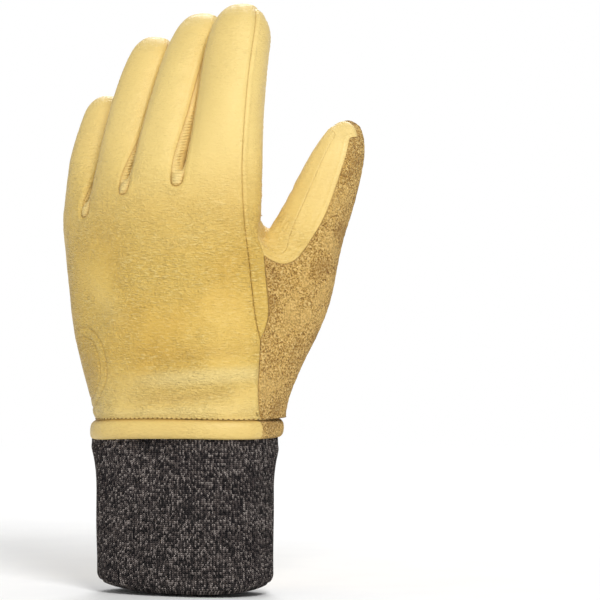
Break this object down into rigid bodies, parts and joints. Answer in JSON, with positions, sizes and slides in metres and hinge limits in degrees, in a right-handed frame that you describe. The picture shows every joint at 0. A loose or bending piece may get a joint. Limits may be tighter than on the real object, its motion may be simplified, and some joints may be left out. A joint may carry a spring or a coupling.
{
  "type": "ski glove",
  "caption": "Left-hand leather ski glove with curved fingers, a suede palm and thumb patch, a rolled hem, a knitted wrist cuff, a pull tab and a clip on a loop",
  "frame": {"origin": "the middle of the opening where the hand goes in, level with the lower edge of the knitted cuff at its front and back", "axes": "+Z runs from the cuff to the fingertips, +Y points out of the palm and -Y out of the back of the hand, and the thumb is on the +X side"},
  "size_m": [0.1396, 0.0781, 0.2661],
  "materials": {
    "golden_leather": "smooth golden leather with a fine pebble grain and a soft satin sheen",
    "pale_leather": "soft pale golden leather, rolled and gathered",
    "tan_suede": "brushed tan suede with a mottled nap",
    "charcoal_knit": "heathered charcoal rib knit",
    "black_plastic": "moulded black plastic, satin"
  },
  "bodies": {
    "root": {"back_panel": "golden_leather", "palm_panel": "golden_leather", "fourchette_ring_little": "golden_leather", "fourchette_middle_ring": "golden_leather", "fourchette_index_middle": "golden_leather", "index_side_strip": "golden_leather", "thumb_back_strip": "golden_leather", "thumb_inner_strip": "golden_leather", "thumb_suede_patch": "tan_suede", "hem_band": "pale_leather", "knit_cuff": "charcoal_knit", "pull_tab": "golden_leather", "clip_loop": "golden_leather", "clip": "black_plastic"}
  },
  "joints": []
}
